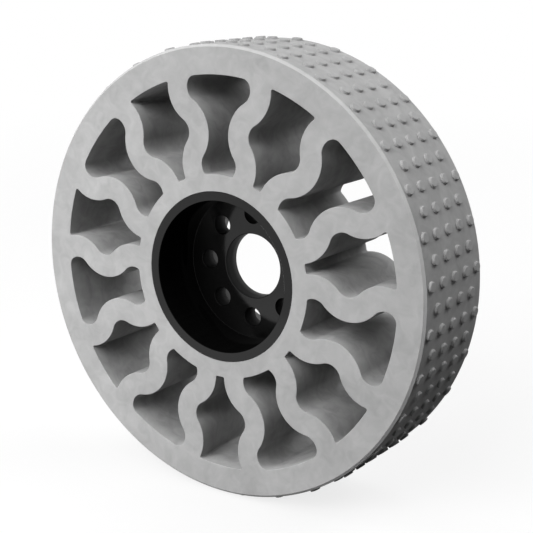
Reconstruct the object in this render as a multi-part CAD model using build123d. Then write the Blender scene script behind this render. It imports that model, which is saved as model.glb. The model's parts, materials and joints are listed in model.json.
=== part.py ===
# Robot wheel, 96 mm across and 24 mm wide: a rigid plastic hub core in a soft rubber wheel.
# Fourteen S-shaped spokes, each the mirror of its neighbours, carry a thin tread band with rows of nubs.
# Frame: the wheel spins about Y, its front face looks along -Y, +Z is up, origin at its centre.
import os
from math import cos, radians, sin, sqrt

from build123d import *

# overall
WHEEL_WIDTH = 24.0
TREAD_RADIUS = 47.5
TREAD_CHAMFER = 0.5

# hub core
HUB_RADIUS = 18.0
CUP_WALL = 2.0
CUP_CHAMFER = 0.3
FRONT_CUP_DEPTH = 12.0
WEB_THICKNESS = 4.0
BORE_RADIUS = 7.0
BOLT_SQUARE = 16.0
BOLT_COUNT = 8
BOLT_HOLE_RADIUS = 2.05

# rubber body: the sleeve and the band, with the gaps between the spokes from one to the other
SLEEVE_THICKNESS = 3.5
BAND_THICKNESS = 6.0
SHARP_CORNER_FILLET = 0.4
ROUND_CORNER_FILLET = 2.0

# rubber body: spokes, each a strip along three arcs of one radius, seen as out along and across the spoke
# The end arcs turn by BEND_ANGLE and the middle one back by twice that. At its root and tip a strip runs on
# along its end arc into the sleeve or band: its inner side turns that much further before it meets them.
SPOKE_COUNT = 14
SPOKE_THICKNESS = 5.0
SPOKE_END_ACROSS = 1.5
BEND_ANGLE = 46.3
ROOT_RUN_ON = 30.0
TIP_RUN_ON = 60.0
RUN_ON_MARGIN = 10.0
FIRST_GAP_ANGLE = 90.0

# rubber body: nubs on the tread, in rows across it, with the two counts by turns
NUB_ROW_COUNT = 64
NUB_COUNT_EVEN_ROWS = 4
NUB_COUNT_ODD_ROWS = 5
NUB_EDGE_MARGIN = 2.3
NUB_SIDES = 8
NUB_RADIUS = 1.1
NUB_HEIGHT = 0.5

# worked out from the sizes above
front_face = -WHEEL_WIDTH / 2
back_face = WHEEL_WIDTH / 2
web_front = front_face + FRONT_CUP_DEPTH
web_back = web_front + WEB_THICKNESS
cup_radius = HUB_RADIUS - CUP_WALL
bolt_circle_radius = BOLT_SQUARE / sqrt(2)
gap_inner_radius = HUB_RADIUS + SLEEVE_THICKNESS
gap_outer_radius = TREAD_RADIUS - BAND_THICKNESS
spoke_pitch = 360 / SPOKE_COUNT
nub_spacing = (WHEEL_WIDTH - 2 * NUB_EDGE_MARGIN) / (NUB_COUNT_ODD_ROWS - 1)

# the bend radius that makes a strip fill the gap's depth: four half bends, and the inner sides' run-on
bend_reach = 4 * sin(radians(BEND_ANGLE))
run_on_reach = sin(radians(ROOT_RUN_ON)) + sin(radians(TIP_RUN_ON))
gap_depth = gap_outer_radius - gap_inner_radius
bend_radius = (gap_depth + run_on_reach * SPOKE_THICKNESS / 2) / (bend_reach + run_on_reach)
inner_bend_radius = bend_radius - SPOKE_THICKNESS / 2
root_bend_out = gap_inner_radius + inner_bend_radius * sin(radians(ROOT_RUN_ON))
tip_bend_out = gap_outer_radius - inner_bend_radius * sin(radians(TIP_RUN_ON))
middle_bend_out = (root_bend_out + tip_bend_out) / 2
end_bend_across = SPOKE_END_ACROSS - bend_radius
middle_bend_across = end_bend_across + 2 * bend_radius * cos(radians(BEND_ANGLE))
round_corner_fillet = min(ROUND_CORNER_FILLET, inner_bend_radius - SHARP_CORNER_FILLET)


def slab(face):
    """A flat outline seen from the front, made a solid as wide as the wheel."""
    return extrude(Plane.XZ * face, WHEEL_WIDTH / 2, both=True)


def turned(solid, angle):
    """A solid turned about the wheel's axis, counter-clockwise as seen from the front."""
    return Rot(Y=-angle) * solid


def spoke_strip(run_on):
    """One spoke's outline along +X. run_on is the angle by which its end arcs go on past the spoke."""
    root_start = 90 + run_on
    root_end = 90 - BEND_ANGLE
    tip_start = 90 + BEND_ANGLE
    tip_end = 90 - run_on
    root = CenterArc((root_bend_out, end_bend_across), bend_radius, root_start, root_end - root_start)
    middle = CenterArc(
        (middle_bend_out, middle_bend_across), bend_radius, 180 + root_end, tip_start - root_end
    )
    tip = CenterArc((tip_bend_out, end_bend_across), bend_radius, tip_start, tip_end - tip_start)
    return trace([root, middle, tip], SPOKE_THICKNESS)


def gap_outline(upper_spoke, lower_spoke, outer_fillet):
    """The gap along +X between two spokes' outlines, with its four corners rounded."""
    ring = Circle(gap_outer_radius) - Circle(gap_inner_radius)
    ring -= Rot(Z=spoke_pitch / 2) * upper_spoke
    ring -= Rot(Z=-spoke_pitch / 2) * lower_spoke
    gap = Sketch() + ring.faces().sort_by(SortBy.AREA)[0]
    outer_corners = gap.vertices().group_by(lambda corner: Vector(corner).length)[-1]
    gap = fillet(outer_corners, outer_fillet)
    inner_corners = gap.vertices().group_by(lambda corner: Vector(corner).length)[0]
    return fillet(inner_corners, SHARP_CORNER_FILLET)


def rubber_outline():
    """The rubber body seen from the front, without nubs: a ring with waisted and bulging gaps by turns."""
    spoke = spoke_strip(max(ROOT_RUN_ON, TIP_RUN_ON) + RUN_ON_MARGIN)
    mirrored_spoke = mirror(spoke, about=Plane.XZ)
    waisted = gap_outline(spoke, mirrored_spoke, round_corner_fillet)
    bulging = gap_outline(mirrored_spoke, spoke, SHARP_CORNER_FILLET)
    gaps = []
    for index in range(SPOKE_COUNT):
        gap = waisted if index % 2 == 0 else bulging
        gaps.append(Rot(Z=FIRST_GAP_ANGLE + index * spoke_pitch) * gap)
    return Circle(TREAD_RADIUS) - Circle(HUB_RADIUS) - gaps


def flats_across_spokes(distance):
    """A polygon with one flat side square across each spoke, and its corners in the gaps."""
    return RegularPolygon(distance, SPOKE_COUNT, major_radius=False, rotation=FIRST_GAP_ANGLE)


def nubs():
    """All the nubs, each standing on the tread with its foot inside the band."""
    foot = TREAD_RADIUS - NUB_HEIGHT
    nub_outline = RegularPolygon(NUB_RADIUS, NUB_SIDES, rotation=180 / NUB_SIDES)
    nub = extrude(Plane.YZ.offset(foot) * nub_outline, 2 * NUB_HEIGHT)
    placed = []
    for row in range(NUB_ROW_COUNT):
        count = NUB_COUNT_EVEN_ROWS if row % 2 == 0 else NUB_COUNT_ODD_ROWS
        angle = FIRST_GAP_ANGLE + row * 360 / NUB_ROW_COUNT
        for place in range(count):
            along = (place - (count - 1) / 2) * nub_spacing
            placed.append(turned(Pos(0, along, 0) * nub, angle))
    return placed


def tread_band(outline):
    """The band outside the spokes, its two rims chamfered, with the nubs on it."""
    band = slab(outline - flats_across_spokes(tip_bend_out))
    rims = band.edges().filter_by(GeomType.CIRCLE).group_by(SortBy.RADIUS)[-1]
    return chamfer(rims, TREAD_CHAMFER) + nubs()


def hub_core():
    """The rigid core: a tube with a web across it, and a bore and a circle of bolt holes in the web."""
    cup_mouth = cup_radius + CUP_CHAMFER
    outline = Polyline(
        (BORE_RADIUS, web_front),
        (cup_radius, web_front),
        (cup_radius, front_face + CUP_CHAMFER),
        (cup_mouth, front_face),
        (HUB_RADIUS, front_face),
        (HUB_RADIUS, back_face),
        (cup_mouth, back_face),
        (cup_radius, back_face - CUP_CHAMFER),
        (cup_radius, web_back),
        (BORE_RADIUS, web_back),
        close=True,
    )
    core = revolve(make_face(outline), Axis.Y)
    hole = slab(Pos(bolt_circle_radius, 0) * Circle(BOLT_HOLE_RADIUS))
    return core - [turned(hole, index * 360 / BOLT_COUNT) for index in range(BOLT_COUNT)]


rubber = rubber_outline()
pieces = {
    "hub_core": hub_core(),
    "hub_sleeve": slab(rubber & flats_across_spokes(root_bend_out)),
    "tread_band": tread_band(rubber),
}
spoke = slab(spoke_strip(run_on=0))
mirrored_spoke = mirror(spoke, about=Plane.XY)
for index in range(SPOKE_COUNT):
    shape = spoke if index % 2 == 0 else mirrored_spoke
    angle = FIRST_GAP_ANGLE + (index + 0.5) * spoke_pitch
    pieces[f"spoke_{index + 1:02d}"] = turned(shape, angle)

os.makedirs("parts", exist_ok=True)
for name, piece in pieces.items():
    export_step(piece, f"parts/{name}.step")
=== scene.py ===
# Robot wheel: a black plastic hub core in a soft grey rubber wheel, with S-shaped spokes and a
# nubbed tread. The wheel turns about Y, its front face looks along -Y and +Z is up. Pieces are
# modelled in millimetres and brought to metres when they are finished. Out is away from the axle,
# across is counter-clockwise seen from the front.
import json
from math import acos, atan2, ceil, cos, hypot, pi, radians, sin, sqrt

import bmesh
import bpy
from mathutils import Matrix, Vector


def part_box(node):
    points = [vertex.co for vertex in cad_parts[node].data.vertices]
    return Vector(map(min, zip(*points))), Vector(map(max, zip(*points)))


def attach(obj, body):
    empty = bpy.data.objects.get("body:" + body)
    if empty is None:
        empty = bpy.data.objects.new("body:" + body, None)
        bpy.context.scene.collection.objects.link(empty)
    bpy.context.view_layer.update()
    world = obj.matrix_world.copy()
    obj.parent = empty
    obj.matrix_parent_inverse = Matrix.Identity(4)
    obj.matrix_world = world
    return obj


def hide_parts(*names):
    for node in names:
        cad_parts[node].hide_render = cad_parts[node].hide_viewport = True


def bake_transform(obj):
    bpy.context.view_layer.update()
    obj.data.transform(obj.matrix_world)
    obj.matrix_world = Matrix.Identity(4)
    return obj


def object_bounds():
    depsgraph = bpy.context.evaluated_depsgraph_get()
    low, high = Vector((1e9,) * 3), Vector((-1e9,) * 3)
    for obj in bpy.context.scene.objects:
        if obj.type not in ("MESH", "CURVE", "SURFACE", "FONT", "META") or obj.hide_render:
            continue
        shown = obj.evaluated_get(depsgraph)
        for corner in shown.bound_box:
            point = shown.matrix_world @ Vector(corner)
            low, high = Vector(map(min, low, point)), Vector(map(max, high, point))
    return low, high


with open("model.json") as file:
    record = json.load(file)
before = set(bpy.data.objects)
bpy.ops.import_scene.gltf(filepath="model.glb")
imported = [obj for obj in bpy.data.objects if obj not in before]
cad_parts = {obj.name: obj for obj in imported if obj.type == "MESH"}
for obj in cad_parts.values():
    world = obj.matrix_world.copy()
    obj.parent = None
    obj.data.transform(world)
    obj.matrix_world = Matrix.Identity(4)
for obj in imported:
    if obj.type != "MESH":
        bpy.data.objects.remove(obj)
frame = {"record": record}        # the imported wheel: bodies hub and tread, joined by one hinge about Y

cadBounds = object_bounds()
millimetre = 0.001

# how near counts as the same place, in millimetres
tolerance = {
    "fine": 0.001,             # where points were put by number
    "coarse": 0.01,            # where tiles meet or a sheet was rolled up
}

# sizes that the pieces share, in millimetres and degrees, taken from the frame where it holds them
mountSizes = {mount["name"]: mount["dims"] for mount in frame["record"]["mounts"]}
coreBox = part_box("hub_core")
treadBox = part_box("tread_band")
wheel = {
    "front": treadBox[0][1] / millimetre,
    "back": treadBox[1][1] / millimetre,
    "width": (treadBox[1][1] - treadBox[0][1]) / millimetre,
    "nubTopRadius": treadBox[1][2] / millimetre,
    "coreRadius": coreBox[1][0] / millimetre,
    "sleeveWall": 3.5,
    "bandWall": 6.0,
    "firstGapAngle": 90.0,
    "gapMargin": 0.5,          # how far beyond the gaps their edges are looked for
    "edgeAngle": 60.0,         # only edges sharper than this are rounded
    "edgeRounding": 0.12,      # the moulded edges of the rubber's front and back faces
    "roundingSteps": 3,
    "arcError": 0.004,         # how far a traced arc's straight steps may stray from it
    "smoothAngle": 40,         # faces that meet at less than this are shaded as one surface
    "flatFacing": 0.9999,      # a face that looks along the axle this squarely is kept flat
}
spoke = {
    "count": 14,
    "thickness": 5.0,
    "endAcross": 1.5,
    "bendAngle": 46.3,
    "rootRunOn": 30.0,
    "tipRunOn": 60.0,
    "cutEdge": 4.5,            # an edge of a gap longer than this is where a spoke is cut off
}
nub = {
    "rows": 64,
    "evenRowCount": 4,
    "oddRowCount": 5,
    "edgeMargin": 2.3,
    "height": 0.5,
    # radius and height of each ring, from the foot to the top
    "steps": [(1.13, 0.0), (1.08, 0.37), (1.01, 0.465), (0.88, 0.5)],
}
treadRadius = wheel["nubTopRadius"] - nub["height"]
gapInner = wheel["coreRadius"] + wheel["sleeveWall"]
gapOuter = treadRadius - wheel["bandWall"]
halfPitch = radians(180 / spoke["count"])

# a spoke's three arcs have the one radius that makes them fill the gap between sleeve and band
bendTurn = radians(spoke["bendAngle"])
runOnReach = sin(radians(spoke["rootRunOn"])) + sin(radians(spoke["tipRunOn"]))
halfSpoke = spoke["thickness"] / 2
bendRadius = (gapOuter - gapInner + runOnReach * halfSpoke) / (4 * sin(bendTurn) + runOnReach)
innerBend = bendRadius - halfSpoke
outerBend = bendRadius + halfSpoke
rootOut = gapInner + innerBend * sin(radians(spoke["rootRunOn"]))
tipOut = gapOuter - innerBend * sin(radians(spoke["tipRunOn"]))
endBendAcross = spoke["endAcross"] - bendRadius
middleBendAcross = endBendAcross + 2 * bendRadius * cos(bendTurn)


# small helpers for work in edit mode

def newObject(name, addPrimitive, **settings):
    bpy.ops.object.select_all(action="DESELECT")
    addPrimitive(**settings)
    piece = bpy.context.object
    piece.name = name
    piece.data.name = name
    return piece


def edit(piece):
    bpy.ops.object.select_all(action="DESELECT")
    piece.select_set(True)
    bpy.context.view_layer.objects.active = piece
    bpy.ops.object.mode_set(mode="EDIT")


def leaveEdit():
    bpy.ops.object.mode_set(mode="OBJECT")


def selectAll():
    bpy.ops.mesh.select_all(action="SELECT")


def pick(kind, test):
    # selects the open mesh's vertices, edges or faces that pass a test, and nothing else
    mesh = bpy.context.object.data
    bpy.ops.mesh.select_mode(type=kind)
    bpy.ops.mesh.select_all(action="DESELECT")
    work = bmesh.from_edit_mesh(mesh)
    parts = {"VERT": work.verts, "EDGE": work.edges, "FACE": work.faces}[kind]
    for part in parts:
        part.select_set(test(part))
    bmesh.update_edit_mesh(mesh)


def near(value, target, distance=tolerance["fine"]):
    return abs(value - target) < distance


def weld(distance=tolerance["fine"]):
    bpy.ops.mesh.select_mode(type="VERT")
    selectAll()
    bpy.ops.mesh.remove_doubles(threshold=distance)


def faceOutward():
    selectAll()
    bpy.ops.mesh.normals_make_consistent(inside=False)


def sweep(centre, turn, radius):
    # spins what is selected about a line along Y, counter-clockwise seen from the front
    stepTurn = 2 * sqrt(2 * wheel["arcError"] / radius)
    bpy.ops.mesh.spin(
        steps=max(2, ceil(abs(turn) / stepTurn)), angle=turn,
        center=(centre[0], 0, centre[1]), axis=(0, 1, 0),
    )


def repeatRound(count):
    # copies what is selected round the axle, so that there are that many
    bpy.ops.mesh.spin(
        steps=count - 1, dupli=True, angle=2 * pi * (count - 1) / count,
        center=(0, 0, 0), axis=(0, 1, 0),
    )


def turnAll(turn, axis="Y"):
    bpy.ops.transform.rotate(value=turn, orient_axis=axis, center_override=(0, 0, 0))


def move(x=0, y=0, z=0):
    bpy.ops.transform.translate(value=(x, y, z))


def resize(x=1, y=1, z=1):
    bpy.ops.transform.resize(value=(x, y, z), center_override=(0, 0, 0))


def extrudeTo(x=0, y=0, z=0):
    bpy.ops.mesh.extrude_region_move(TRANSFORM_OT_translate={"value": (x, y, z)})


def startPoint(name, x, y, z):
    # a new piece that is one selected point, ready to be swept or extruded
    piece = newObject(name, bpy.ops.mesh.primitive_plane_add, size=1)
    bpy.ops.object.mode_set(mode="EDIT")
    bpy.ops.mesh.select_mode(type="VERT")
    selectAll()
    bpy.ops.mesh.merge(type="CENTER")
    move(x, y, z)
    return piece


def directionFrom(start, end):
    return atan2(end[1] - start[1], end[0] - start[0])


def joinPieces(first, *others):
    bpy.ops.object.select_all(action="DESELECT")
    for piece in (first, *others):
        piece.select_set(True)
    bpy.context.view_layer.objects.active = first
    bpy.ops.object.join()
    return first


def finishPiece(piece, body, node, smoothAngle=wheel["smoothAngle"]):
    # brings a piece to metres, smooths its curved faces, keeps ends and nub tops flat, hides the CAD
    # part that it
    #     stands in for and, where a body is given, attaches it to that body
    edit(piece)
    selectAll()
    resize(millimetre, millimetre, millimetre)
    leaveEdit()
    bpy.ops.object.shade_smooth_by_angle(angle=radians(smoothAngle))
    nubTop = (wheel["nubTopRadius"] - tolerance["coarse"]) * millimetre
    for face in piece.data.polygons:
        onNub = hypot(face.center.x, face.center.z) > nubTop
        if onNub or abs(face.normal.y) > wheel["flatFacing"]:
            face.use_smooth = False
    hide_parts(node)
    if body:
        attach(piece, body)


# the rubber's outline, which the sleeve, the spokes and the band share

def place(out, across, angle):
    # a point so far along and across a spoke at that angle, as x and z
    return (out * cos(angle) - across * sin(angle), out * sin(angle) + across * cos(angle))


def shortWay(turn):
    return (turn + pi) % (2 * pi) - pi


def cornerCentre(bend, bendReach, ringReach):
    # the middle of a rounded corner that far from a spoke's bend and from the axle, and its angle
    span = hypot(*bend)
    spread = acos((span**2 + ringReach**2 - bendReach**2) / (2 * span * ringReach))
    angle = atan2(bend[1], bend[0]) + spread
    return place(ringReach, 0, angle), angle


def traceOutline(name, ring, bendOut, waistCorner, bulgeCorner, outer):
    # sweeps a point along one edge of the gaps, into a closed loop of edges on the front face
    gapMiddle = radians(wheel["firstGapAngle"])
    spokeAngle = gapMiddle + halfPitch
    across = spokeAngle + pi / 2
    bend = place(bendOut, endBendAcross, spokeAngle)
    side = 1 if outer else -1
    flip = 0 if outer else pi
    waist, waistAngle = cornerCentre(bend, innerBend - waistCorner, ring - side * waistCorner)
    bulge, bulgeAngle = cornerCentre(bend, outerBend + bulgeCorner, ring - side * bulgeCorner)
    toWaist = directionFrom(bend, waist)
    toBulge = directionFrom(bend, bulge)
    startX, startZ = place(ring, 0, gapMiddle)
    cutX, cutZ = place(0, spoke["thickness"], spokeAngle)
    outline = startPoint(name, startX, wheel["front"], startZ)
    sweep((0, 0), shortWay(waistAngle - gapMiddle), ring)
    sweep(waist, shortWay(toWaist - waistAngle - flip), waistCorner)
    sweep(bend, shortWay(across - toWaist), innerBend)
    extrudeTo(cutX, 0, cutZ)
    sweep(bend, shortWay(toBulge - across), outerBend)
    sweep(bulge, shortWay(bulgeAngle + pi - flip - toBulge), bulgeCorner)
    sweep((0, 0), shortWay(gapMiddle + 2 * halfPitch - bulgeAngle), ring)
    selectAll()
    bpy.ops.mesh.duplicate()
    resize(x=-1)
    weld()
    repeatRound(spoke["count"] // 2)
    weld()
    return outline


def extrudeAcross():
    # draws the selected loop on the front face out to the back face
    selectAll()
    extrudeTo(y=wheel["width"])


def fillEnds(*levels):
    # closes the open loops that lie at those depths
    for level in levels:
        pick("EDGE", lambda edge: edge.is_boundary and all(near(v.co.y, level) for v in edge.verts))
        bpy.ops.mesh.fill(use_beauty=True)


def roundGapEdges(innerLimit, outerLimit):
    # rounds the gaps' edges on both faces, apart from the straight ones where a spoke is cut off
    def isGapEdge(edge):
        onFace = all(near(abs(v.co.y), wheel["back"]) for v in edge.verts)
        inGap = all(innerLimit < hypot(v.co.x, v.co.z) < outerLimit for v in edge.verts)
        sharp = edge.calc_face_angle(0) > radians(wheel["edgeAngle"])
        return onFace and inGap and sharp and edge.calc_length() < spoke["cutEdge"]

    pick("EDGE", isGapEdge)
    bpy.ops.mesh.bevel(
        affect="EDGES", offset=wheel["edgeRounding"], segments=wheel["roundingSteps"],
        clamp_overlap=False,
    )


# rubber sleeve round the core

sleeve = {
    "cornerRounding": 0.4,
    "innerSteps": 144,
}


def makeSleeve():
    corner = sleeve["cornerRounding"]
    piece = traceOutline("rubberSleeve", gapInner, rootOut, corner, corner, outer=False)
    bpy.ops.mesh.select_all(action="DESELECT")
    bpy.ops.mesh.primitive_circle_add(
        vertices=sleeve["innerSteps"], radius=wheel["coreRadius"],
        location=(0, wheel["front"], 0), rotation=(pi / 2, 0, 0),
    )
    extrudeAcross()
    fillEnds(wheel["front"], wheel["back"])
    faceOutward()
    roundGapEdges(gapInner - wheel["gapMargin"], rootOut + halfSpoke)
    leaveEdit()
    finishPiece(piece, "hub", "hub_sleeve")
    print("sleeve:", len(piece.data.polygons), "faces")
    return piece


# spokes, each a section swept along three arcs, and every second one mirrored

def makeSpokes():
    master = newObject("spoke", bpy.ops.mesh.primitive_plane_add, size=1, rotation=(0, pi / 2, 0))
    bpy.ops.object.transform_apply(rotation=True)
    edit(master)
    selectAll()
    resize(1, wheel["width"], spoke["thickness"])
    bpy.ops.mesh.bevel(
        affect="VERTICES", offset=wheel["edgeRounding"], segments=wheel["roundingSteps"]
    )
    move(rootOut, 0, spoke["endAcross"])
    sweep((rootOut, endBendAcross), -bendTurn, outerBend)
    sweep(((rootOut + tipOut) / 2, middleBendAcross), 2 * bendTurn, outerBend)
    sweep((tipOut, endBendAcross), -bendTurn, outerBend)
    leaveEdit()
    spokes = []
    for index in range(spoke["count"]):
        piece = master.copy()
        piece.data = master.data.copy()
        piece.name = f"spoke{index + 1:02d}"
        bpy.context.collection.objects.link(piece)
        angle = radians(wheel["firstGapAngle"]) + (2 * index + 1) * halfPitch
        edit(piece)
        selectAll()
        if index % 2 == 1:
            resize(z=-1)
        faceOutward()
        turnAll(angle)
        leaveEdit()
        finishPiece(piece, None, f"spoke_{index + 1:02d}")
        rootX, rootZ = place(rootOut * millimetre, 0, angle)
        tipX, tipZ = place(tipOut * millimetre, 0, angle)
        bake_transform(piece)
        spokes.append(piece)
    bpy.data.objects.remove(master)
    print("spokes:", len(spokes), "of", len(spokes[0].data.polygons), "faces")
    return spokes


# tread band: a flat sheet of nub tiles rolled into a ring, closed over the gaps' outer outline

tread = {
    "chamfer": 0.5,
    "roundCorner": 2.0,
    "sharpCorner": 0.4,
    "tileCells": 6,            # cells along a tile's side, of which all but the outer carry the nub
    "outerCellAt": 11.0,       # where the last line of cells before the rim lies
}
rowLength = 2 * pi * treadRadius / nub["rows"]
nubSpacing = (wheel["width"] - 2 * nub["edgeMargin"]) / (nub["oddRowCount"] - 1)


def newGrid(name, width, height, columns, rows):
    grid = newObject(
        name, bpy.ops.mesh.primitive_grid_add, x_subdivisions=columns, y_subdivisions=rows, size=1
    )
    edit(grid)
    selectAll()
    resize(width, height)
    return grid


def makeNubTile():
    cells = tread["tileCells"]
    tile = newGrid("nubTile", rowLength, nubSpacing, cells, cells)
    nubReach = 0.5 - 0.5 / cells
    pick("FACE", lambda face: all(
        abs(v.co.x) < nubReach * rowLength and abs(v.co.y) < nubReach * nubSpacing
        for v in face.verts
    ))
    bpy.ops.mesh.dissolve_faces()
    bpy.ops.transform.tosphere(value=1)
    work = bmesh.from_edit_mesh(tile.data)
    radius = max(vert.co.length for vert in work.verts if vert.select)
    scale = nub["steps"][0][0] / radius
    resize(scale, scale)
    for (radius, height), (nextRadius, nextHeight) in zip(nub["steps"], nub["steps"][1:]):
        extrudeTo(z=nextHeight - height)
        scale = nextRadius / radius
        resize(scale, scale)
    leaveEdit()
    return tile


def copyTo(source, x, y):
    twin = source.copy()
    twin.data = source.data.copy()
    twin.location = (x, y, 0)
    bpy.context.collection.objects.link(twin)
    return twin


def makeNubRows():
    # two rows side by side, four nubs and five, out to the rims, with plain strips to end the first
    tile = makeNubTile()
    strip = newGrid(
        "edgeStrip", rowLength, nubSpacing / 2, tread["tileCells"], tread["tileCells"] // 2
    )
    leaveEdit()
    copies = []
    for row, count in enumerate((nub["evenRowCount"], nub["oddRowCount"])):
        for index in range(count):
            along = (index - (count - 1) / 2) * nubSpacing
            copies.append(copyTo(tile, (row + 0.5) * rowLength, along))
    stripPlace = (nub["evenRowCount"] / 2 + 0.25) * nubSpacing
    copies.append(copyTo(strip, 0.5 * rowLength, stripPlace))
    copies.append(copyTo(strip, 0.5 * rowLength, -stripPlace))
    bpy.data.objects.remove(tile)
    bpy.data.objects.remove(strip)
    rows = joinPieces(*copies)
    bpy.ops.object.transform_apply(location=True)
    edit(rows)
    weld(tolerance["coarse"])
    tileEnd = nub["oddRowCount"] / 2 * nubSpacing
    lastCell = tileEnd - nubSpacing / tread["tileCells"]
    rim = wheel["back"] - tread["chamfer"]
    for line, target in ((tileEnd, rim), (lastCell, tread["outerCellAt"])):
        pick("VERT", lambda vert: near(abs(vert.co.y), line, tolerance["coarse"]))
        resize(y=target / line)
    leaveEdit()
    return rows


def makeTreadSkin():
    skin = makeNubRows()
    skin.name = "treadSkin"
    pairs = nub["rows"] // 2
    repeat = skin.modifiers.new("repeatRows", "ARRAY")
    repeat.count = pairs
    repeat.use_relative_offset = False
    repeat.use_constant_offset = True
    repeat.constant_offset_displace = (2 * rowLength, 0, 0)
    repeat.use_merge_vertices = True
    repeat.merge_threshold = tolerance["coarse"]
    bpy.ops.object.modifier_apply(modifier=repeat.name)
    edit(skin)
    selectAll()
    move(-pairs * rowLength)
    turnAll(-pi / 2, "X")
    leaveEdit()
    roll = skin.modifiers.new("roll", "SIMPLE_DEFORM")
    roll.deform_method = "BEND"
    roll.deform_axis = "Z"
    roll.angle = 2 * pi
    bpy.ops.object.modifier_apply(modifier=roll.name)
    edit(skin)
    weld(tolerance["coarse"])
    move(0, -treadRadius, 0)
    turnAll(pi / 2, "X")
    turnAll(pi / nub["rows"])
    rimScale = (treadRadius - tread["chamfer"]) / treadRadius
    for side in (-1, 1):
        pick("EDGE", lambda edge: edge.is_boundary and all(v.co.y * side > 0 for v in edge.verts))
        extrudeTo(y=side * tread["chamfer"])
        resize(rimScale, 1, rimScale)
    leaveEdit()
    print("tread skin:", len(skin.data.polygons), "faces")
    return skin


def makeTreadBand():
    piece = traceOutline(
        "treadBand", gapOuter, tipOut, tread["roundCorner"], tread["sharpCorner"], outer=True
    )
    extrudeAcross()
    leaveEdit()
    joinPieces(piece, makeTreadSkin())
    edit(piece)
    fillEnds(wheel["front"], wheel["back"])
    faceOutward()
    roundGapEdges(tipOut - halfSpoke, gapOuter + wheel["gapMargin"])
    leaveEdit()
    finishPiece(piece, "tread", "tread_band")
    print("tread band:", len(piece.data.polygons), "faces")
    return piece


# hub core: profiles spun about the axle and the bolt holes, with the web filled in between them

core = {
    "cupWall": 2.0,
    "cupChamfer": 0.1,
    "frontCupDepth": 12.0,
    "webThickness": 4.0,
    "floorMargin": 0.9,        # how much of the cup's floor is spun with its wall
    "floorFillet": 0.08,
    "floorSteps": 4,
    "rimRounding": 0.06,
    "rimSteps": 2,
    "boreChamfer": 0.15,
    "holeChamfer": 0.1,
    "turnSteps": 144,
    "holeSteps": 32,
    "smoothAngle": 50,
}


def spinProfile(name, points, steps, centre=(0, 0)):
    # a line through points given as radius and depth, spun into a closed ring
    piece = startPoint(name, centre[0] + points[0][0], points[0][1], centre[1])
    for (radius, depth), (nextRadius, nextDepth) in zip(points, points[1:]):
        extrudeTo(nextRadius - radius, nextDepth - depth, 0)
    selectAll()
    bpy.ops.mesh.spin(
        steps=steps, angle=2 * pi, center=(centre[0], 0, centre[1]), axis=(0, 1, 0)
    )
    weld()
    leaveEdit()
    return piece


def roundRing(radius, depths, offset, segments):
    def onRing(edge):
        return all(
            near(hypot(v.co.x, v.co.z), radius, tolerance["coarse"])
            and any(near(v.co.y, depth) for depth in depths)
            for v in edge.verts
        )

    pick("EDGE", onRing)
    bpy.ops.mesh.bevel(affect="EDGES", offset=offset, segments=segments)


def makeHubCore():
    front, back = wheel["front"], wheel["back"]
    webFront = front + core["frontCupDepth"]
    webBack = webFront + core["webThickness"]
    cup = wheel["coreRadius"] - core["cupWall"]
    floor = cup - core["floorMargin"]
    mouth = cup + core["cupChamfer"]
    piece = spinProfile("hubCore", [
        (floor, webFront), (cup, webFront), (cup, front + core["cupChamfer"]), (mouth, front),
        (wheel["coreRadius"], front), (wheel["coreRadius"], back),
        (mouth, back), (cup, back - core["cupChamfer"]), (cup, webBack), (floor, webBack),
    ], core["turnSteps"])

    def openHole(name, radius, chamfer, steps, centre=(0, 0)):
        return spinProfile(name, [
            (radius + chamfer, webFront), (radius, webFront + chamfer),
            (radius, webBack - chamfer), (radius + chamfer, webBack),
        ], steps, centre)

    boreSize = mountSizes["bore"]
    bolts = mountSizes["hub_bolts"]
    bore = openHole("bore", boreSize["r_mm"], core["boreChamfer"], core["turnSteps"])
    holes = openHole(
        "boltHoles", bolts["hole_r_mm"], core["holeChamfer"], core["holeSteps"],
        (bolts["pcd_mm"] / 2, 0),
    )
    edit(holes)
    selectAll()
    repeatRound(bolts["count"])
    leaveEdit()
    joinPieces(piece, bore, holes)
    edit(piece)
    fillEnds(webFront, webBack)
    faceOutward()
    roundRing(cup, (webFront, webBack), core["floorFillet"], core["floorSteps"])
    roundRing(wheel["coreRadius"], (front, back), core["rimRounding"], core["rimSteps"])
    leaveEdit()
    finishPiece(piece, "hub", "hub_core", core["smoothAngle"])
    print("hub core:", len(piece.data.polygons), "faces")
    return piece


# node maths: a small wrapper for numbers, and one method for every other node

class ShaderNumber:
    def __init__(self, finish, socket):
        self.finish = finish
        self.socket = socket

    def __add__(self, other):
        return self.finish.maths("ADD", self, other)

    def __radd__(self, other):
        return self.finish.maths("ADD", other, self)

    def __sub__(self, other):
        return self.finish.maths("SUBTRACT", self, other)

    def __rsub__(self, other):
        return self.finish.maths("SUBTRACT", other, self)

    def __mul__(self, other):
        return self.finish.maths("MULTIPLY", self, other)

    def __rmul__(self, other):
        return self.finish.maths("MULTIPLY", other, self)


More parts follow.
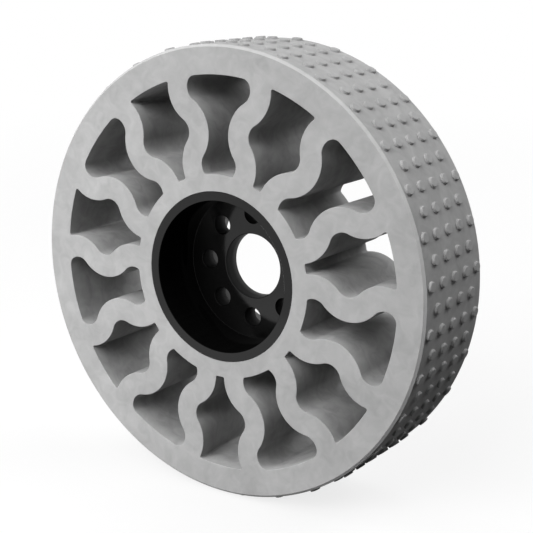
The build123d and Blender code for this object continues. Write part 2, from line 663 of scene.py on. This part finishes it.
class Finish:
    def __init__(self, tree):
        self.tree = tree
        self.tree.nodes.clear()

    def add(self, kind, settings=None, inputs=None):
        node = self.tree.nodes.new(kind)
        for name, value in (settings or {}).items():
            setattr(node, name, value)
        for name, value in (inputs or {}).items():
            if isinstance(value, ShaderNumber):
                value = value.socket
            if isinstance(value, bpy.types.NodeSocket):
                self.tree.links.new(value, node.inputs[name])
            else:
                node.inputs[name].default_value = value
        return node

    def number(self, node, output=0):
        return ShaderNumber(self, node.outputs[output])

    def maths(self, operation, first, second):
        node = self.add("ShaderNodeMath", {"operation": operation}, {0: first, 1: second})
        return self.number(node)

    def mixColours(self, factor, first, second):
        # a Mix node's colours are its inputs 6 and 7, and their mix is its output 2
        inputs = {"Factor": factor, 6: first, 7: second}
        return self.add("ShaderNodeMix", {"data_type": "RGBA"}, inputs).outputs[2]

    def mixTones(self, factor, tones):
        return self.mixColours(factor, grey(tones[0]), grey(tones[1]))

    def mixShaders(self, factor, first, second):
        inputs = {"Fac": factor, 1: first.outputs[0], 2: second.outputs[0]}
        return self.add("ShaderNodeMixShader", inputs=inputs)

    def noise(self, vector, scale, detail=2.0, distortion=0.0):
        inputs = {"Vector": vector, "Scale": scale, "Detail": detail, "Distortion": distortion}
        return self.number(self.add("ShaderNodeTexNoise", inputs=inputs))

    def stretched(self, vector, scale):
        return self.add("ShaderNodeMapping", inputs={"Vector": vector, "Scale": scale}).outputs[0]

    def bump(self, look, height):
        inputs = {"Strength": look["bump"], "Distance": look["bumpDepth"], "Height": height}
        return self.add("ShaderNodeBump", inputs=inputs).outputs[0]

    def spot(self):
        return self.add("ShaderNodeTexCoord").outputs["Object"]

    def axes(self, vector):
        split = self.add("ShaderNodeSeparateXYZ", inputs={0: vector})
        return [self.number(split, axis) for axis in range(3)]

    def between(self, start, end):
        # 1 where a surface lies between those distances from the axle
        x, _, z = self.axes(self.spot())
        away = x * x + z * z
        beyondStart = self.maths("GREATER_THAN", away, start ** 2)
        return beyondStart * self.maths("LESS_THAN", away, end ** 2)

    def sideways(self):
        # 1 on a surface that faces along the axle, down to 0 on one that runs along it
        normal = self.add("ShaderNodeTexCoord").outputs["Normal"]
        return self.maths("ABSOLUTE", self.axes(normal)[1], 0)

    def smoothStep(self, value, start, end):
        inputs = {"Value": value, "From Min": start, "From Max": end}
        settings = {"interpolation_type": "SMOOTHSTEP"}
        return self.number(self.add("ShaderNodeMapRange", settings, inputs))

    def seen(self):
        # 1 for the camera, reflections and what shines through, 0 for the light that the wheel gets
        path = self.add("ShaderNodeLightPath")
        camera, glossy, through = [
            self.number(path, f"Is {ray} Ray") for ray in ("Camera", "Glossy", "Transmission")
        ]
        return self.maths("MAXIMUM", self.maths("MAXIMUM", camera, glossy), through)

    def show(self, shader, kind="ShaderNodeOutputMaterial"):
        self.add(kind, inputs={"Surface": shader.outputs[0]})


def newMaterial(name):
    material = bpy.data.materials.new(name)
    material.use_nodes = True
    return material, Finish(material.node_tree)


def giveMaterial(material, *pieces):
    for piece in pieces:
        piece.data.materials.clear()
        piece.data.materials.append(material)


def grey(level):
    return (level, level, level, 1)


# soft grey rubber: faint cloudy mottle, matt, with a very fine skin, painted shade on the gaps' walls
# and a painted highlight on the tread's slanted rims; scales and distances in metres

rubberLook = {
    "faceTones": (0.365, 0.485),
    "wallTones": (0.235, 0.385),  # painted shade: the gaps' walls are darker than the faces, and darken away from them
    "wallEnd": 0.044,          # how far from the axle they reach
    "wallDepth": 0.004,        # and how far in from the faces the painted shade takes its full tone
    "rimTones": (0.54, 0.62),  # painted highlight: the tread's slanted rims, lighter than its faces
    "rimEnd": 0.04753,         # how far from the axle these reach, just short of the nubs' sides
    "cloudScale": 130,
    "cloudDetail": 5,
    "cloudWeight": 1.3,
    "smearScale": 320,
    "smearDetail": 4,
    "smearSwirl": 1.2,
    "smearWeight": 1.3,
    "grainScale": 2600,
    "roughness": 0.72,
    "roughnessSpread": 0.12,
    "bump": 0.25,
    "bumpDepth": 0.00003,
    "specular": 0.05,
}


def makeRubber():
    look = rubberLook
    material, finish = newMaterial("rubber")
    spot = finish.spot()
    clouds = finish.noise(spot, look["cloudScale"], look["cloudDetail"])
    smears = finish.noise(spot, look["smearScale"], look["smearDetail"], look["smearSwirl"])
    grain = finish.noise(spot, look["grainScale"])
    tone = clouds * look["cloudWeight"] + smears * look["smearWeight"]
    tone = tone + 0.5 * (1 - look["cloudWeight"] - look["smearWeight"])    # its middle stays 0.5
    # painted shade: the gaps' walls are darker, more so away from the faces
    faceDistance = wheel["back"] * millimetre - finish.maths("ABSOLUTE", finish.axes(spot)[1], 0)
    shadeDeepening = finish.smoothStep(faceDistance, 0, look["wallDepth"])
    sideways = finish.sideways()
    paintedWallShade = finish.between(0, look["wallEnd"]) * (1 - sideways) * shadeDeepening
    # painted highlight: the tread's slanted rims are lighter than the faces beside them
    slanting = sideways * (1 - sideways) * 4
    rim = finish.between(look["wallEnd"], look["rimEnd"]) * slanting
    colour = finish.mixTones(tone, look["faceTones"])
    colour = finish.mixColours(paintedWallShade, colour, finish.mixTones(tone, look["wallTones"]))
    colour = finish.mixColours(rim, colour, finish.mixTones(tone, look["rimTones"]))
    finish.show(finish.add("ShaderNodeBsdfPrincipled", inputs={
        "Base Color": colour,
        "Roughness": clouds * look["roughnessSpread"] + look["roughness"],
        "Specular IOR Level": look["specular"],
        "Normal": finish.bump(look, grain + smears),
    }))
    return material


# black moulded plastic: glossy, with fine streaks along the axle where the mould was drawn

plasticLook = {
    "tones": (0.0015, 0.003),
    "streakScale": (900, 30, 900),
    "streakDetail": 3,
    "grainScale": 1500,
    "grainWeight": 0.4,
    "roughness": 0.07,
    "roughnessSpread": 0.06,
    "holeEnd": 0.0155,         # how far from the axle the bore and the bolt holes reach
    "holeRoughness": 0.7,      # what their walls add to the roughness
    "bump": 0.08,
    "bumpDepth": 0.00002,
    "specular": 0.35,
    "wallSpecular": 0.08,      # the same for the walls of the bolt holes and cups
    "wallStart": 0.0085,       # how far from the axle these start
    "wallEnd": 0.0165,         # and end
    "wallFacing": 0.9,         # and how squarely they may face along the axle
}


def makePlastic():
    look = plasticLook
    material, finish = newMaterial("hubPlastic")
    spot = finish.spot()
    streaks = finish.noise(finish.stretched(spot, look["streakScale"]), 1, look["streakDetail"])
    grain = finish.noise(spot, look["grainScale"])
    sideways = finish.sideways()
    inHole = finish.between(0, look["holeEnd"]) * (1 - sideways)
    alongAxle = finish.maths("LESS_THAN", sideways, look["wallFacing"])
    onWall = finish.between(look["wallStart"], look["wallEnd"]) * alongAxle
    colour = finish.mixTones(streaks, look["tones"])
    roughness = streaks * look["roughnessSpread"] + look["roughness"]
    roughness = roughness + inHole * look["holeRoughness"]
    skin = finish.bump(look, streaks + grain * look["grainWeight"])
    glossy, dull = [
        finish.add("ShaderNodeBsdfPrincipled", inputs={
            "Base Color": colour, "Roughness": roughness,
            "Specular IOR Level": specular, "Normal": skin,
        })
        for specular in (look["specular"], look["wallSpecular"])
    ]
    finish.show(finish.mixShaders(onWall, glossy, dull))
    return material


# the stage: pale floor, white surroundings, soft lamps and the photograph's viewpoint, in metres

stageLook = {
    "floorSize": 2.4,
    "floorTone": 0.9,          # what the camera sees
    "floorBounce": 0.04,       # what the floor throws back at the wheel
    "floorGlow": 0.8,          # how much of the floor is plain white beside the wheel
    "fadeStart": 0.12,         # where it starts to go over to white altogether
    "fadeEnd": 0.7,
    "ambient": 0.004,          # the light that the wheel gets from all round
}


def makeSurroundings():
    world = bpy.data.worlds.new("surroundings")
    bpy.context.scene.world = world
    world.use_nodes = True
    finish = Finish(world.node_tree)
    colour = finish.mixTones(finish.seen(), (stageLook["ambient"], 1))
    background = finish.add("ShaderNodeBackground", inputs={"Color": colour, "Strength": 1})
    finish.show(background, "ShaderNodeOutputWorld")


def makeFloor():
    floor = newObject(
        "floor", bpy.ops.mesh.primitive_plane_add, size=stageLook["floorSize"],
        location=(0, 0, cadBounds[0][2]),
    )
    material, finish = newMaterial("floor")
    seen = finish.seen()
    colour = finish.mixTones(seen, (stageLook["floorBounce"], stageLook["floorTone"]))
    matt = finish.add("ShaderNodeBsdfDiffuse", inputs={"Color": colour})
    glow = finish.add("ShaderNodeEmission", inputs={"Color": grey(1), "Strength": 1})
    length = finish.add("ShaderNodeVectorMath", {"operation": "LENGTH"}, {0: finish.spot()})
    away = finish.number(length, 1)
    fade = finish.smoothStep(away, stageLook["fadeStart"], stageLook["fadeEnd"])
    white = stageLook["floorGlow"] + fade * (1 - stageLook["floorGlow"])
    finish.show(finish.mixShaders(seen * white, matt, glow))
    giveMaterial(material, floor)


def direction(azimuth, elevation):
    # from the wheel, with the azimuth counted from its front towards +X
    return Vector((sin(azimuth) * cos(elevation), -cos(azimuth) * cos(elevation), sin(elevation)))


# level is the light on a surface that faces the lamp, where 1 makes a white one white
lamps = {
    "front": {"azimuth": 0, "elevation": 35, "distance": 0.9, "size": 0.5, "level": 0.74},
    "close": {"azimuth": -25, "elevation": 0, "distance": 0.15, "size": 0.07, "level": 0.44},
    "above": {"azimuth": -30, "elevation": 60, "distance": 0.9, "size": 0.5, "level": 0.29},
    "right": {"azimuth": 120, "elevation": 60, "distance": 0.9, "size": 0.5, "level": 0.26},
    "behind": {"azimuth": 150, "elevation": 35, "distance": 0.9, "size": 0.5, "level": 0.43},
    "rear": {"azimuth": 180, "elevation": 2, "distance": 2.0, "size": 0.15, "level": 0.25},
    "left": {"azimuth": -110, "elevation": 20, "distance": 0.9, "size": 0.5, "level": 0.3},
}


def makeLamps():
    for name, lamp in lamps.items():
        towards = direction(radians(lamp["azimuth"]), radians(lamp["elevation"]))
        bpy.ops.object.light_add(type="AREA", location=towards * lamp["distance"])
        light = bpy.context.object
        light.name = name
        light.rotation_euler = towards.to_track_quat("Z", "Y").to_euler()
        light.data.size = lamp["size"]
        light.data.energy = lamp["level"] * (pi * lamp["distance"]) ** 2
        light.visible_camera = False
        light.visible_glossy = False       # gloss shows the white surroundings instead


view = {
    "azimuth": 36.3748,
    "elevation": 14.8674,
    "distance": 258.667,       # from the middle of the front face, in millimetres
    "tilt": -0.50676,          # the camera's aim, off the line to the wheel
    "pan": 2.15878,
    "wheelTurn": 0.485,        # how far the wheel stands turned about its axle in the photograph
    "lens": 84.73,
    "sensor": 36.0,
}


def makeCamera():
    azimuth = radians(view["azimuth"])
    right = Vector((cos(azimuth), sin(azimuth), 0))
    back = direction(azimuth, radians(view["elevation"]))
    aim = Matrix((right, back.cross(right), back)).transposed()
    tilt = Matrix.Rotation(-radians(view["tilt"]), 3, "X")
    pan = Matrix.Rotation(-radians(view["pan"]), 3, "Y")
    stand = back * view["distance"] + Vector((0, wheel["front"], 0))
    turn = Matrix.Rotation(radians(view["wheelTurn"]), 4, "Y")
    bpy.ops.object.camera_add()
    camera = bpy.context.object
    camera.name = "photographView"
    camera.data.lens = view["lens"]
    camera.data.sensor_width = view["sensor"]
    aim = (aim @ tilt @ pan).to_4x4()
    camera.matrix_world = turn @ Matrix.Translation(stand * millimetre) @ aim
    bpy.context.scene.camera = camera


hubCore = makeHubCore()
rubberSleeve = makeSleeve()
spokes = makeSpokes()
treadBand = makeTreadBand()
giveMaterial(makeRubber(), rubberSleeve, *spokes, treadBand)
giveMaterial(makePlastic(), hubCore)
print("materials are on")
makeSurroundings()
makeFloor()
makeLamps()
makeCamera()
bpy.context.scene.view_settings.view_transform = "Standard"
print("the stage is set")
